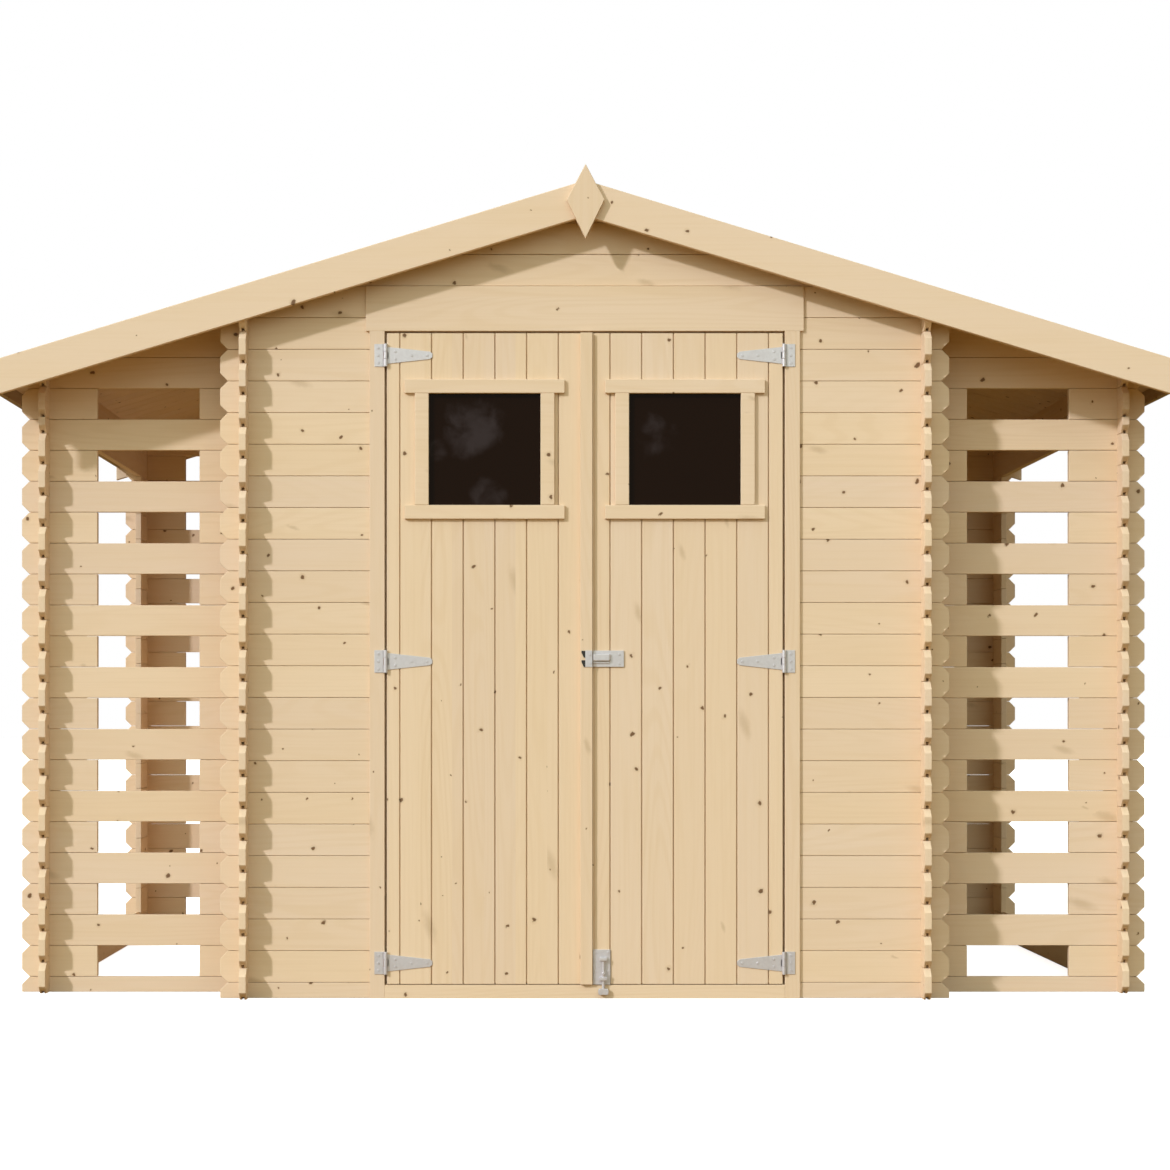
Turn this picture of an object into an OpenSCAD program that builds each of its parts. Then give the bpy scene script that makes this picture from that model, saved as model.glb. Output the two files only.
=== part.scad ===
// Timber garden shed with a slatted log store on each side, under one gable roof.
// Millimetres. +X is to the right of the doors, -Y is the front, +Z is up.
// The origin is on the ground, at the middle of the building.

/* [Planks] */
// Height that one wall plank covers
plank_h = 84; // [70:1:100]
// Thickness of the wall planks
plank_t = 19; // [16:1:30]
// How far a plank runs past the wall it crosses
log_end = 56; // [40:1:80]
// Size of the slanted corners on each plank end
end_chamfer = 20; // [8:1:24]

/* [Walls] */
// Middle of one side wall to the middle of the other
shed_w = 1804; // [1500:1:2400]
// Front face of the front wall to the back face of the rear wall
shed_d = 1900; // [1500:1:2400]

/* [Log stores] */
// Middle of the shed's side wall to the middle of the store's outer side
store_w = 556; // [400:1:800]
// Setback of each store's end walls behind the shed's
store_setback = 136; // [110:1:240]
// Solid blocks at both ends of each slot
block_w = 130; // [90:1:160]

/* [Roof] */
// Pitch of the roof, as rise over run
pitch = 0.3035; // [0.24:0.001:0.34]
// Height of the roof boards' top at the ridge
ridge_z = 2154; // [2120:1:2400]
// How far the eaves stand past the log stores
eave_over = 69.5; // [60:0.5:160]
// Thickness of the roof boards
roof_t = 16; // [12:1:22]
// Thickness of the boards that cover the roof's front and rear edges
barge_t = 16; // [12:1:25]
// Height of those boards, measured straight up
barge_h = 94; // [70:1:130]
// Width of the ridge beam
ridge_beam_w = 40; // [30:1:60]
// Height of the ridge beam
ridge_beam_h = 90; // [60:1:120]
// Depth of the strip under each eave
eave_strip_h = 32; // [20:1:50]
// Thickness of the strip under each eave
eave_strip_t = 16; // [12:1:25]
// Height of the pointed board at each gable peak
finial_h = 195; // [120:1:240]
// Width of the pointed board at each gable peak
finial_w = 99; // [60:1:140]
// How far the pointed board stands over the ridge
finial_rise = 39; // [20:1:60]

/* [Doorway] */
// Clear width between the door jambs
door_w = 1061; // [960:1:1300]
// Height of the underside of the board over the doors
door_top = 1769; // [1700:1:1800]
// Height of the sill
sill_h = 36; // [30:1:60]
// Width of the jamb boards
jamb_w = 40; // [30:1:60]
// How far the jambs, header and doors stand in front of the wall
trim_t = 8; // [6:1:16]
// Height of the board over the doors
header_h = 119; // [80:1:125]
// Length of the board over the doors past each jamb opening
header_lap = 50; // [40:1:70]

/* [Doors] */
// Thickness of the door boards
leaf_t = 16; // [14:1:22]
// Running gap all round each door
leaf_gap = 6; // [6:0.5:8]
// Offset of the meeting line from the middle, towards the right door
meeting_x = 23; // [0:1:30]
// Width of the strip on the left door's meeting edge
strip_w = 32; // [20:1:50]
// Thickness of that strip
strip_t = 12; // [8:1:18]
// Height of each ledge on the back of a door
ledge_h = 84; // [60:1:110]
// Thickness of the ledges
ledge_t = 16; // [12:1:22]

/* [Door windows] */
// Height of the middle of each window
window_z = 1455; // [1300:1:1490]
// Width and height of the glass that shows
window_size = 296; // [200:1:320]
// Width of the window trims
window_trim_w = 37; // [25:1:50]
// Thickness of the window trims
window_trim_t = 10; // [8:1:16]
// Length of the upper and lower trims past the upright ones
window_trim_lap = 27; // [5:1:30]
// Thickness of the glass
glass_t = 4; // [3:1:6]

/* [Hardware] */
// Height of the fixed plate of each strap hinge
hinge_plate_h = 60; // [40:1:90]
// Width of the fixed plate of each strap hinge
hinge_plate_w = 30; // [20:1:36]
// Length of each hinge strap from the pin
hinge_strap_l = 124; // [90:1:200]
// Height of the strap near the pin
hinge_strap_h = 42; // [30:1:56]
// Height of the strap near its tip
hinge_tip_h = 19; // [12:1:30]
// Thickness of hinge, latch and bolt plates
plate_t = 2; // [1.5:0.5:3]
// Radius of the hinge knuckles
knuckle_r = 5; // [4:0.5:7]
// Radius of the hinge pins
pin_r = 2.5; // [2:0.25:3]
// Foot of each door to the middle of its lowest hinge
hinge_low = 52; // [40:1:200]
// Height of the middle hinges
hinge_mid = 893; // [800:1:1000]
// Top of each door to the middle of its highest hinge
hinge_high = 59; // [40:1:70]
// Height of the middle of the latch
latch_z = 900; // [700:1:1000]
// Length of the latch's plate
latch_w = 77; // [60:1:110]
// Height of the latch, and width of the foot bolt's plate
lock_h = 44; // [40:1:60]
// Thickness of the latch's and the foot bolt's plates
lock_plate_t = 4; // [2:0.5:5]
// Height of the foot bolt's plate
bolt_plate_h = 88; // [84:1:120]
// Radius of the foot bolt's rod
bolt_r = 4; // [3:0.5:5]

/* [Hidden] */

cut = 1;                     // how far a cutter runs past what it cuts
seam0 = plank_h / 2;         // the end walls start with half a plank
front_y = -shed_d / 2;       // front face of the front wall
wall_out = shed_w / 2 + plank_t / 2;
wall_in = shed_w / 2 - plank_t / 2;
tip_x = wall_out + log_end;
end_y = shed_d / 2 + log_end;
store_x = shed_w / 2 + store_w;
store_out = store_x + plank_t / 2;
store_in = store_x - plank_t / 2;
store_tip = store_out + log_end;
roof_half = store_tip + eave_over;
store_y = shed_d / 2 - store_setback;
store_end_y = store_y + log_end;
post_in_y = store_y - plank_t - block_w;
barge_y = end_y + barge_t;
rise = roof_t * sqrt(1 + pitch * pitch);
eave_room = ridge_z - rise - pitch * store_out;            // height under the roof at a store's outer side
slots = floor((eave_room - seam0) / (2 * plank_h) + 0.5);  // slots that fit in each end wall of a store
rail_z = seam0 + (2 * slots - 2) * plank_h;                // foot of the rail at a store's eave
trim_y = front_y - trim_t;   // front face of jambs, header and doors
leaf_bottom = sill_h + leaf_gap;
leaf_top = door_top - leaf_gap;
hinge_z = [leaf_bottom + hinge_low, hinge_mid, leaf_top - hinge_high];
window_x = door_w / 4;        // middle of the doorway to the middle of each window
pin_x = door_w / 2 - leaf_gap / 2;
pin_y = trim_y - knuckle_r;
pin_clear = 0.1;
knuckle_gap = 0.5;
knuckle_room = 1;            // between a knuckle and the edge of the plate beside it
strap_room = 2;              // between a knuckle and the strap's widest part
strap_nose = 6;              // length of the strap's rounded tip
seat = 0.05;                 // hair gap under the roof boards
bite = 0.5;                  // how far raised metal reaches into its plate
case_w = 42;                 // raised case of the latch
case_h = 26;
case_t = 12;
keeper_inset = 4;
slot_w = 4;                  // slots in the latch's keeper
slot_h = 14;
slot_inset = 5;
lock_room = 1;               // between the locks' metal and what it moves past
ledge_margin = 90;
glass_inset = 4;
bolt_x = meeting_x + leaf_gap / 2 + lock_room + lock_h / 2;
bolt_y = trim_y - lock_plate_t - bolt_r - lock_room;
bolt_l = 96;
plate_foot = 2;              // foot of the door to the foot of the bolt's plate
bolt_clear = 0.1;
guide_w = 20;
guide_h = 12;
guide_low = 4;
guide_wall = 3;
guide_pitch = 54;
knob_r = 4;
knob_l = 14;
knob_room = 6;
foot_r = 14;
foot_z = 10;
finial_wide = 0.48;          // where the pointed board is widest, as a share of its height from its top
peak_joint = 1;              // open joint between two barge boards, behind the pointed board

pine = [0.90, 0.79, 0.64];
pine_dark = [0.84, 0.71, 0.54];
zinc = [0.75, 0.75, 0.76];

function roof_top(x) = ridge_z - pitch * abs(x);
function roof_under(x) = ridge_z - rise - pitch * abs(x);

// ---------- shapes that repeat ----------

// A board between two corners.
module board(low, high) {
    translate(low) cube([high[0] - low[0], high[1] - low[1], high[2] - low[2]]);
}

// Draws its child on both sides of the YZ plane, or on one.
module on_side(side) {
    if (side < 0) mirror([1, 0, 0]) children();
    else children();
}

// Draws its child at the front, or turned over to the rear.
module on_end(end) {
    if (end > 0) mirror([0, 1, 0]) children();
    else children();
}

// The points of one plank end, going up: the corners are cut at 45 degrees.
function plank_end(low, high, tip, cut_low) =
    let (c = min(end_chamfer, 0.45 * (high - low)))
    concat(cut_low ? [[tip - c, low], [tip, low + c]] : [[tip, low]], [[tip, high - c], [tip - c, high]]);

// Heights of the seams in a stack of planks whose lowest one may be cut down to first_h.
function seams(low, first_h, high) =
    [low, each [for (z = low + first_h; z < high; z = z + plank_h) z], high];

// The outline of a stack of plank ends, going up. Only a lowest plank of full height is cut at its foot.
function stack_end(low, first_h, high, tip) =
    let (s = seams(low, first_h, high))
    [for (i = [0 : len(s) - 2]) each plank_end(s[i], s[i + 1], tip, i > 0 || first_h == plank_h)];

// An upright sheet in the XZ plane, from y to y + thick.
module xz_sheet(points, y, thick) {
    translate([0, y + thick, 0]) rotate([90, 0, 0]) linear_extrude(height = thick) polygon(points);
}

// An upright sheet in the YZ plane, from x to x + thick.
module yz_sheet(points, x, thick) {
    translate([x, 0, 0]) rotate([90, 0, 90]) linear_extrude(height = thick) polygon(points);
}

// All the room under the roof boards.
module under_roof() {
    xz_sheet([
        [-roof_half, 0], [roof_half, 0], [roof_half, roof_under(roof_half)],
        [0, roof_under(0)], [-roof_half, roof_under(roof_half)]
    ], -barge_y, 2 * barge_y);
}

// A strip of plank ends on the right, from a straight inner edge out to the shaped tips.
module end_strip_x(inner, tip, y) {
    intersection() {
        xz_sheet(concat([[inner, 0]], stack_end(0, seam0, ridge_z, tip), [[inner, ridge_z]]), y, plank_t);
        under_roof();
    }
}

// ---------- shed walls ----------

module front_wall_side(side) {
    color(pine) on_side(side) {
        board([door_w / 2, front_y, 0], [wall_in, front_y + plank_t, door_top]);
        end_strip_x(wall_out, tip_x, front_y);
    }
}

module gable_sheet(half, low, y) {
    intersection() {
        board([-half, y, low], [half, y + plank_t, ridge_z]);
        under_roof();
    }
}

// Room for the ridge beam through a gable.
module ridge_notch() {
    board([-ridge_beam_w / 2, -barge_y, roof_under(0) - ridge_beam_h], [ridge_beam_w / 2, barge_y, ridge_z]);
}

module front_gable() {
    color(pine) difference() {
        gable_sheet(wall_in, door_top, front_y);
        ridge_notch();
    }
}

module rear_wall() {
    color(pine) {
        difference() {
            gable_sheet(wall_in, 0, -front_y - plank_t);
            ridge_notch();
        }
        for (side = [-1, 1]) on_side(side) end_strip_x(wall_out, tip_x, -front_y - plank_t);
    }
}

// A long wall of whole planks, with shaped ends at the front and the rear.
module long_wall(inner, low, high, half_l) {
    rear = stack_end(low, plank_h, high, half_l);
    front = [for (i = [len(rear) - 1 : -1 : 0]) [-rear[i][0], rear[i][1]]];
    intersection() {
        yz_sheet(concat(rear, front), inner, plank_t);
        under_roof();
    }
}

module side_wall(side) {
    color(pine) on_side(side) long_wall(wall_in, 0, ridge_z, end_y);
}

// ---------- log stores ----------

module store_end(side, end) {
    color(pine) on_side(side) on_end(end) {
        difference() {
            intersection() {
                board([wall_out, -store_y, 0], [store_in, -store_y + plank_t, ridge_z]);
                under_roof();
            }
            for (i = [0 : slots - 1])
                board([wall_out + block_w, -store_y - cut, seam0 + 2 * i * plank_h],
                      [store_in - block_w, -store_y + plank_t + cut, seam0 + (2 * i + 1) * plank_h]);
        }
        end_strip_x(store_out, store_tip, -store_y);
    }
}

// Short planks stacked at the front and rear outer corners of a store.
module store_posts(side) {
    ends = [for (p = stack_end(plank_h, plank_h, rail_z, store_end_y)) [-p[0], p[1]]];
    color(pine) on_side(side) for (end = [-1, 1]) on_end(end)
        yz_sheet(concat([[-post_in_y, rail_z], [-post_in_y, plank_h]], ends), store_in, plank_t);
}

module store_bottom_rail(side) {
    color(pine) on_side(side) long_wall(store_in, 0, plank_h, store_end_y);
}

module store_top_rail(side) {
    color(pine) on_side(side) long_wall(store_in, rail_z, roof_top(store_out), store_end_y);
}

// ---------- roof ----------

module ridge_beam() {
    half = ridge_beam_w / 2;
    low = roof_under(0) - ridge_beam_h;
    top = roof_under(half);
    color(pine_dark) xz_sheet([
        [-half, low], [half, low], [half, top - seat], [0, roof_under(0) - seat], [-half, top - seat]
    ], -end_y, 2 * end_y);
}

module roof_side(side) {
    color(pine) on_side(side) xz_sheet([
        [0, roof_under(0)], [roof_half, roof_under(roof_half)],
        [roof_half, roof_top(roof_half)], [0, roof_top(0)]
    ], -end_y, 2 * end_y);
}

module eave_strip(side) {
    inner = roof_half - eave_strip_t;
    low = roof_under(roof_half) - eave_strip_h;
    color(pine_dark) on_side(side) xz_sheet([
        [inner, low], [roof_half, low],
        [roof_half, roof_under(roof_half) - seat], [inner, roof_under(inner) - seat]
    ], -end_y, 2 * end_y);
}

module barge_boards(end) {
    color(pine) on_end(end) for (side = [-1, 1]) on_side(side)
        xz_sheet([
            [peak_joint / 2, roof_top(peak_joint / 2) - barge_h], [roof_half, roof_top(roof_half) - barge_h],
            [roof_half, roof_top(roof_half)], [peak_joint / 2, roof_top(peak_joint / 2)]
        ], -barge_y, barge_t);
}

module finial(end) {
    top = ridge_z + finial_rise;
    wide_z = top - finial_wide * finial_h;
    outline = [[0, top - finial_h], [finial_w / 2, wide_z], [0, top], [-finial_w / 2, wide_z]];
    color(pine) on_end(end) xz_sheet(outline, -barge_y - barge_t, barge_t);
}

// ---------- doorway ----------

module door_header() {
    half = door_w / 2 + header_lap;
    color(pine) board([-half, trim_y, door_top], [half, front_y, door_top + header_h]);
}

module jamb(side) {
    color(pine) on_side(side) board([door_w / 2, trim_y, 0], [door_w / 2 + jamb_w, front_y, door_top]);
}

module door_sill() {
    color(pine) board([-door_w / 2, trim_y, 0], [door_w / 2, front_y + plank_t, sill_h]);
}

// ---------- strap hinges ----------

// Fixed plate with the upper and lower knuckles and the pin, on the right jamb.
module hinge_plate() {
    third = hinge_plate_h / 3;
    y = trim_y - plate_t;
    outer = pin_x + hinge_plate_w;
    union() {
        board([pin_x, y, -hinge_plate_h / 2], [outer, trim_y, -third / 2]);
        board([pin_x + knuckle_r + knuckle_room, y, -third / 2 - cut], [outer, trim_y, third / 2 + cut]);
        board([pin_x, y, third / 2], [outer, trim_y, hinge_plate_h / 2]);
        translate([pin_x, pin_y, -hinge_plate_h / 2]) cylinder(r = knuckle_r, h = third, $fn = 32);
        translate([pin_x, pin_y, third / 2]) cylinder(r = knuckle_r, h = third, $fn = 32);
        translate([pin_x, pin_y, -hinge_plate_h / 2]) cylinder(r = pin_r, h = hinge_plate_h, $fn = 32);
    }
}

// Tapered strap with the middle knuckle, on the right door.
module hinge_strap() {
    knuckle_h = hinge_plate_h / 3 - 2 * knuckle_gap;
    root = pin_x - knuckle_r - strap_room;
    tip = pin_x - hinge_strap_l;
    difference() {
        union() {
            xz_sheet([
                [root, -hinge_strap_h / 2], [root, hinge_strap_h / 2], [tip + strap_nose, hinge_tip_h / 2],
                [tip, hinge_tip_h / 4], [tip, -hinge_tip_h / 4], [tip + strap_nose, -hinge_tip_h / 2]
            ], trim_y - plate_t, plate_t);
            board([root - 1, trim_y - plate_t, -knuckle_h / 2], [pin_x, trim_y, knuckle_h / 2]);
            translate([pin_x, pin_y, -knuckle_h / 2]) cylinder(r = knuckle_r, h = knuckle_h, $fn = 32);
        }
        translate([pin_x, pin_y, -knuckle_h]) cylinder(r = pin_r + pin_clear, h = 2 * knuckle_h, $fn = 32);
    }
}

module hinge_plates(side) {
    color(zinc) on_side(side) for (z = hinge_z) translate([0, 0, z]) hinge_plate();
}

module hinge_straps(side) {
    color(zinc) on_side(side) for (z = hinge_z) translate([0, 0, z]) hinge_strap();
}

// ---------- doors ----------

function leaf_inner(side) = side < 0 ? -meeting_x + leaf_gap / 2 : meeting_x + leaf_gap / 2;

// One door, drawn as the right one.
module leaf(side) {
    half = window_size / 2;
    back = trim_y + leaf_t;
    color(pine) on_side(side) difference() {
        board([leaf_inner(side), trim_y, leaf_bottom], [door_w / 2 - leaf_gap, back, leaf_top]);
        board([window_x - half, trim_y - cut, window_z - half],
              [window_x + half, back + cut, window_z + half]);
    }
}

module ledges(side) {
    inset = 2 * leaf_gap;
    y = trim_y + leaf_t;
    lows = [leaf_bottom + ledge_margin, latch_z - ledge_h / 2, leaf_top - ledge_margin - ledge_h];
    color(pine_dark) on_side(side) for (z = lows)
        board([leaf_inner(side) + inset, y, z], [door_w / 2 - leaf_gap - inset, y + ledge_t, z + ledge_h]);
}

module window_trim(side) {
    half = window_size / 2;
    outer = half + window_trim_w;
    long = outer + window_trim_lap;
    color(pine) on_side(side) translate([window_x, trim_y - window_trim_t, window_z]) difference() {
        union() {
            board([-outer, 0, -half - cut], [outer, window_trim_t, half + cut]);
            board([-long, 0, half], [long, window_trim_t, outer]);
            board([-long, 0, -outer], [long, window_trim_t, -half]);
        }
        board([-half, -cut, -half], [half, window_trim_t + cut, half]);
    }
}

module window_glass(side) {
    half = window_size / 2;
    y = trim_y + glass_inset;
    color([0.25, 0.27, 0.3, 0.6]) on_side(side)
        board([window_x - half, y, window_z - half], [window_x + half, y + glass_t, window_z + half]);
}

module meeting_strip() {
    edge = -leaf_inner(-1);
    color(pine) board([edge - strip_w, trim_y - strip_t, leaf_bottom], [edge, trim_y, leaf_top]);
}

// ---------- latch and foot bolt ----------

// Latch on the right door: a plate that carries a raised case.
module latch() {
    x = leaf_inner(1) + lock_room;
    y = trim_y - lock_plate_t;
    color(zinc) translate([x, 0, latch_z]) union() {
        board([0, y, -lock_h / 2], [latch_w, trim_y, lock_h / 2]);
        board([0, trim_y - case_t, -case_h / 2], [case_w, y + bite, case_h / 2]);
    }
}

// The latch's plate on the meeting strip, with two slots.
module latch_keeper() {
    inner = -leaf_inner(-1) - strip_w + keeper_inset;
    y = trim_y - strip_t - plate_t;
    slot_x = inner + slot_inset;
    color(zinc) difference() {
        board([inner, y, latch_z - lock_h / 2], [-leaf_inner(-1), y + plate_t, latch_z + lock_h / 2]);
        for (z = [latch_z - slot_h - slot_inset, latch_z + slot_inset])
            board([slot_x, y - cut, z], [slot_x + slot_w, y + plate_t + cut, z + slot_h]);
    }
}

module foot_bolt_plate() {
    y = trim_y - lock_plate_t;
    color(zinc) translate([bolt_x, 0, leaf_bottom]) union() {
        board([-lock_h / 2, y, plate_foot], [lock_h / 2, trim_y, bolt_plate_h]);
        for (z = [guide_low, guide_low + guide_pitch]) difference() {
            board([-guide_w / 2, bolt_y - bolt_r - guide_wall, z], [guide_w / 2, y + bite, z + guide_h]);
            translate([0, bolt_y, z - cut])
                cylinder(r = bolt_r + bolt_clear, h = guide_h + 2 * cut, $fn = 32);
        }
    }
}

// The rod, with a small knob between its guides and a flat foot in front of the sill.
module foot_bolt() {
    knob_z = leaf_bottom + guide_low + guide_h + knob_room + knob_r - foot_z;
    color(zinc) translate([bolt_x, bolt_y, foot_z]) union() {
        cylinder(r = bolt_r, h = bolt_l, $fn = 32);
        translate([0, 0, knob_z]) rotate([90, 0, 0]) cylinder(r = knob_r, h = knob_l, $fn = 32);
        intersection() {
            translate([0, bolt_r, foot_r / 2]) rotate([90, 0, 0])
                cylinder(r = foot_r, h = 2 * bolt_r, $fn = 48);
            board([-foot_r, -bolt_r, 0], [foot_r, bolt_r, foot_r]);
        }
    }
}

front_wall_side(-1);  // front_wall_left
front_wall_side(1);  // front_wall_right
front_gable();
rear_wall();
side_wall(-1);  // left_wall
side_wall(1);  // right_wall
store_end(-1, -1);  // left_store_front
store_end(-1, 1);  // left_store_rear
store_end(1, -1);  // right_store_front
store_end(1, 1);  // right_store_rear
store_posts(-1);  // left_store_posts
store_posts(1);  // right_store_posts
store_bottom_rail(-1);  // left_store_bottom_rail
store_bottom_rail(1);  // right_store_bottom_rail
store_top_rail(-1);  // left_store_top_rail
store_top_rail(1);  // right_store_top_rail
ridge_beam();
roof_side(-1);  // left_roof
roof_side(1);  // right_roof
eave_strip(-1);  // left_eave_strip
eave_strip(1);  // right_eave_strip
barge_boards(-1);  // front_barge_boards
barge_boards(1);  // rear_barge_boards
finial(-1);  // front_finial
finial(1);  // rear_finial
door_header();
jamb(-1);  // left_jamb
jamb(1);  // right_jamb
door_sill();
hinge_plates(-1);  // left_hinge_plates
hinge_plates(1);  // right_hinge_plates
leaf(-1);  // left_door
ledges(-1);  // left_door_ledges
window_trim(-1);  // left_window_trim
window_glass(-1);  // left_window_glass
hinge_straps(-1);  // left_hinge_straps
meeting_strip();
latch_keeper();
leaf(1);  // right_door
ledges(1);  // right_door_ledges
window_trim(1);  // right_window_trim
window_glass(1);  // right_window_glass
hinge_straps(1);  // right_hinge_straps
latch();
foot_bolt_plate();
foot_bolt();
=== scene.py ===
"""Timber garden shed with a slatted log store on each side: every board, strap and pane."""
import math

import bpy
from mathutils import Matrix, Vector


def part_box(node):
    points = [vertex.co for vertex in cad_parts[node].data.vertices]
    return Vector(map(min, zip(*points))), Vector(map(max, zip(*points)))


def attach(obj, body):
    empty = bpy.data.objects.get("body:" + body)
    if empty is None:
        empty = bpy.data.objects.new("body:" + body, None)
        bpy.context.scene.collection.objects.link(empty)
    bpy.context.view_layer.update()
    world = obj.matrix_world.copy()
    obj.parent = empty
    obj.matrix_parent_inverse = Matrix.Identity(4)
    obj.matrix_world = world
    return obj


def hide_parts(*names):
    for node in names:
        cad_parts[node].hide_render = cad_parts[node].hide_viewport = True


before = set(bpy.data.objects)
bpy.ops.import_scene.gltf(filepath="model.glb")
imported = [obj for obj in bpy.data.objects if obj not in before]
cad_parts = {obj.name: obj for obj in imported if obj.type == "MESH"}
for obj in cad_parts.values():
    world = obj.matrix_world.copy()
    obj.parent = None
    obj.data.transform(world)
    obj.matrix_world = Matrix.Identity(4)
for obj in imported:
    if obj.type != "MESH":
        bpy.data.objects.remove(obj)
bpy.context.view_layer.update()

# ---------- sizes in metres, read from the frame where a node gives them ----------

side_low, side_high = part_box("right_wall")
rear_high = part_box("rear_wall")[1]
rail_low, rail_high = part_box("right_store_bottom_rail")
store_low, store_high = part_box("right_store_front")
post_low, post_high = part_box("right_store_posts")
roof_low, roof_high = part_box("right_roof")
barge_low, barge_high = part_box("front_barge_boards")
jamb_low, jamb_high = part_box("right_jamb")
sill_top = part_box("door_sill")[1][2]
latch_low, latch_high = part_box("latch")

PLANK = rail_high[2] - rail_low[2]      # height that one plank covers
HALF = PLANK / 2
TOP_GAP = 0.0010                        # what the seam above a plank is open
BOARD_GAP = 0.0030                      # open seam between door boards
ROOF_GAP = 0.0030                       # open seam between roof boards
EASE = 0.0013                           # rounding on planed edges
TONGUE = 0.004                          # how far a tongue reaches past the board it stands on
END_GAP = 0.002                         # how far a tongue stops short of its board's ends
CHAMFER = 0.020                         # slanted corners on each log end
GROOVE = 0.008                          # groove under each log, seen at its slanted ends
GROOVE_RUN = 0.050                      # how far that groove is cut in from the tip
BLOCK = 0.130                           # solid blocks beside the stores' slots
SLOTS = 10                              # slots in each end wall of a store
PITCH = 0.3035                          # the roof's rise over run
PEAK = roof_high[2]
EAVE = roof_high[0]
ROOF_UNDER = roof_low[2] + PITCH * EAVE  # underside of the roof boards at the ridge
BARGE = 0.094                           # height of a barge board
GROOVE_X = 0.0685                       # first groove of the door boards from the middle
FRONT_Y = -rear_high[1]
DOOR_X = jamb_low[0]                    # half of the doorway
DOOR_TOP = jamb_high[2]
LEAF_Y = jamb_low[1]                    # front of the doors
MEETING = 0.0052                        # how far the right door's rebate reaches toward the left door
DOOR_FOOT = 0.0040                      # how far the doors reach below their boxes in the frame
LEAF_GROOVE = 0.006                     # how deep the seams between door boards are
HINGE_Z = (0.094, 0.893, 1.704)         # middles of the strap hinges
KNUCKLE = 0.005                         # radius of their knuckles
SHEET = 0.002                           # sheet of the straps and their plates
PLATE_H = 0.060                         # height of the fixed plates
ROOT_H = 0.045                          # height of a strap beside its knuckle
TIP_H = 0.019                           # height of a strap near its tip
STRAP_START = 0.0043                    # from the pin to the strap
PIN = 0.0025                            # radius of the hinge pins
SCREW = 0.0036                          # radius of a screw head
ROD = 0.004                             # radius of the foot bolt's rod
METAL = 0.004                           # thickness of the latch's and the foot bolt's plates
SEAT = 0.0035                           # from the door's front to the backs of the parts on those plates
BOARD = 0.31                            # wider than any single board, so that each keeps one tint

# Pine's colours, from the plain board to the middle of a knot.
PALE = (0.802, 0.608, 0.416)
PINK = (0.762, 0.585, 0.436)
HONEY = (0.735, 0.535, 0.345)
CLOUD = (0.745, 0.545, 0.335)
ARCH = (0.66, 0.45, 0.24)
STREAK = (0.69, 0.49, 0.29)
STAIN = (0.46, 0.31, 0.17)
HALO = (0.50, 0.31, 0.15)
KNOT = (0.135, 0.058, 0.019)
# Painted reflections on the panes, as pale patches: x, z, reach, strength.
PAINTED_REFLECTIONS = ((-0.300, 1.515, 0.150, 0.55), (-0.395, 1.455, 0.070, 0.42), (-0.259, 1.331, 0.090, 0.48),
        (0.190, 1.500, 0.120, 0.40))


# ---------- bench work: small steps that every piece goes through ----------

def only(piece):
    """Leave one piece selected and active."""
    bpy.ops.object.select_all(action="DESELECT")
    piece.select_set(True)
    bpy.context.view_layer.objects.active = piece


def block(name, low, high):
    """Add a block between two corners, its place in its mesh."""
    bpy.ops.object.select_all(action="DESELECT")
    middle = [(a + b) / 2 for a, b in zip(low, high)]
    size = [b - a for a, b in zip(low, high)]
    bpy.ops.mesh.primitive_cube_add(size=1, location=middle, scale=size)
    bpy.ops.object.transform_apply(location=True, rotation=True, scale=True)
    bpy.context.object.name = name
    return bpy.context.object


def rod(name, start, length, radius, axis=2, sides=28):
    """Add a round bar that runs from start along one axis."""
    bpy.ops.object.select_all(action="DESELECT")
    middle = Vector(start)
    middle[axis] += length / 2
    turn = ((0, math.pi / 2, 0), (math.pi / 2, 0, 0), (0, 0, 0))[axis]
    bpy.ops.mesh.primitive_cylinder_add(
        vertices=sides, radius=radius, depth=abs(length), location=middle, rotation=turn)
    bpy.ops.object.transform_apply(location=True, rotation=True, scale=True)
    bpy.context.object.name = name
    return bpy.context.object


def saw(piece, *cuts):
    """Saw a piece once for each (point, outward direction), and close each sawn face."""
    only(piece)
    bpy.ops.object.mode_set(mode="EDIT")
    for point, outward in cuts:
        bpy.ops.mesh.select_all(action="SELECT")
        bpy.ops.mesh.bisect(
            plane_co=point, plane_no=Vector(outward).normalized(), use_fill=True, clear_outer=True)
    bpy.ops.object.mode_set(mode="OBJECT")
    return piece


def use(piece, kind, **settings):
    """Add a modifier and apply it."""
    only(piece)
    modifier = piece.modifiers.new(kind.lower(), kind)
    for key, value in settings.items():
        setattr(modifier, key, value)
    bpy.ops.object.modifier_apply(modifier=modifier.name)
    return piece


def ease(piece, width=EASE, segments=2):
    """Round the sharp edges."""
    return use(piece, "BEVEL", width=width, segments=segments, limit_method="ANGLE",
               angle_limit=math.radians(28))


def repeat(piece, count, step):
    """Repeat a piece in a row."""
    return use(piece, "ARRAY", count=count, use_relative_offset=False, use_constant_offset=True,
               constant_offset_displace=step)


def carve(piece, tool):
    """Cut the shape of a tool out of a piece, and clear the tool away."""
    use(piece, "BOOLEAN", operation="DIFFERENCE", object=tool, solver="EXACT")
    bpy.data.objects.remove(tool)
    return piece


def cut_out(piece, low, high):
    """Cut a box out of a piece."""
    return carve(piece, block("tool", low, high))


def join(name, pieces):
    """Join pieces into one, under a name."""
    bpy.ops.object.select_all(action="DESELECT")
    for piece in pieces:
        piece.select_set(True)
    bpy.context.view_layer.objects.active = pieces[0]
    if len(pieces) > 1:
        bpy.ops.object.join()
    pieces[0].name = name
    return pieces[0]


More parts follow.
